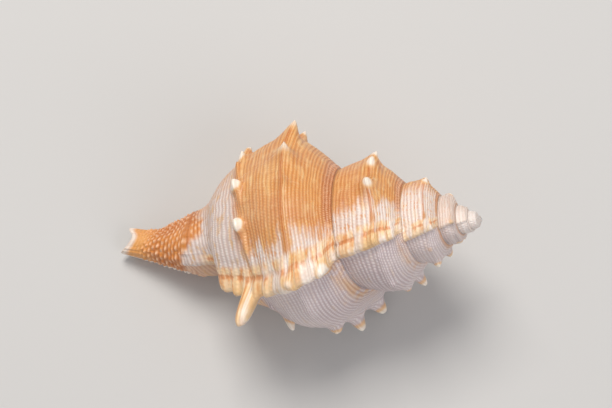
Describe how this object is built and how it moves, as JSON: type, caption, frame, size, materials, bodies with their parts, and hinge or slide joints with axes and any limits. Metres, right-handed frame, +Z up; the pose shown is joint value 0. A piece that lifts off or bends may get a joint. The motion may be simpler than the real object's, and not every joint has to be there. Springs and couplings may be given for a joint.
{
  "type": "frog shell",
  "caption": "Empty marine snail shell with a pointed spire, beaded spiral cords, spiny varices on both sides and a long open siphonal canal, lying on its aperture.",
  "frame": {"origin": "centre of the bounding box at its bottom, on the floor the shell rests on", "axes": "+Z up, +X towards the apex of the spire along the floor, the aperture faces down and towards +Y"},
  "size_m": [0.0666, 0.0396, 0.0328],
  "materials": {
    "shell": "satin"
  },
  "bodies": {
    "root": {"shell": "shell"}
  },
  "joints": []
}
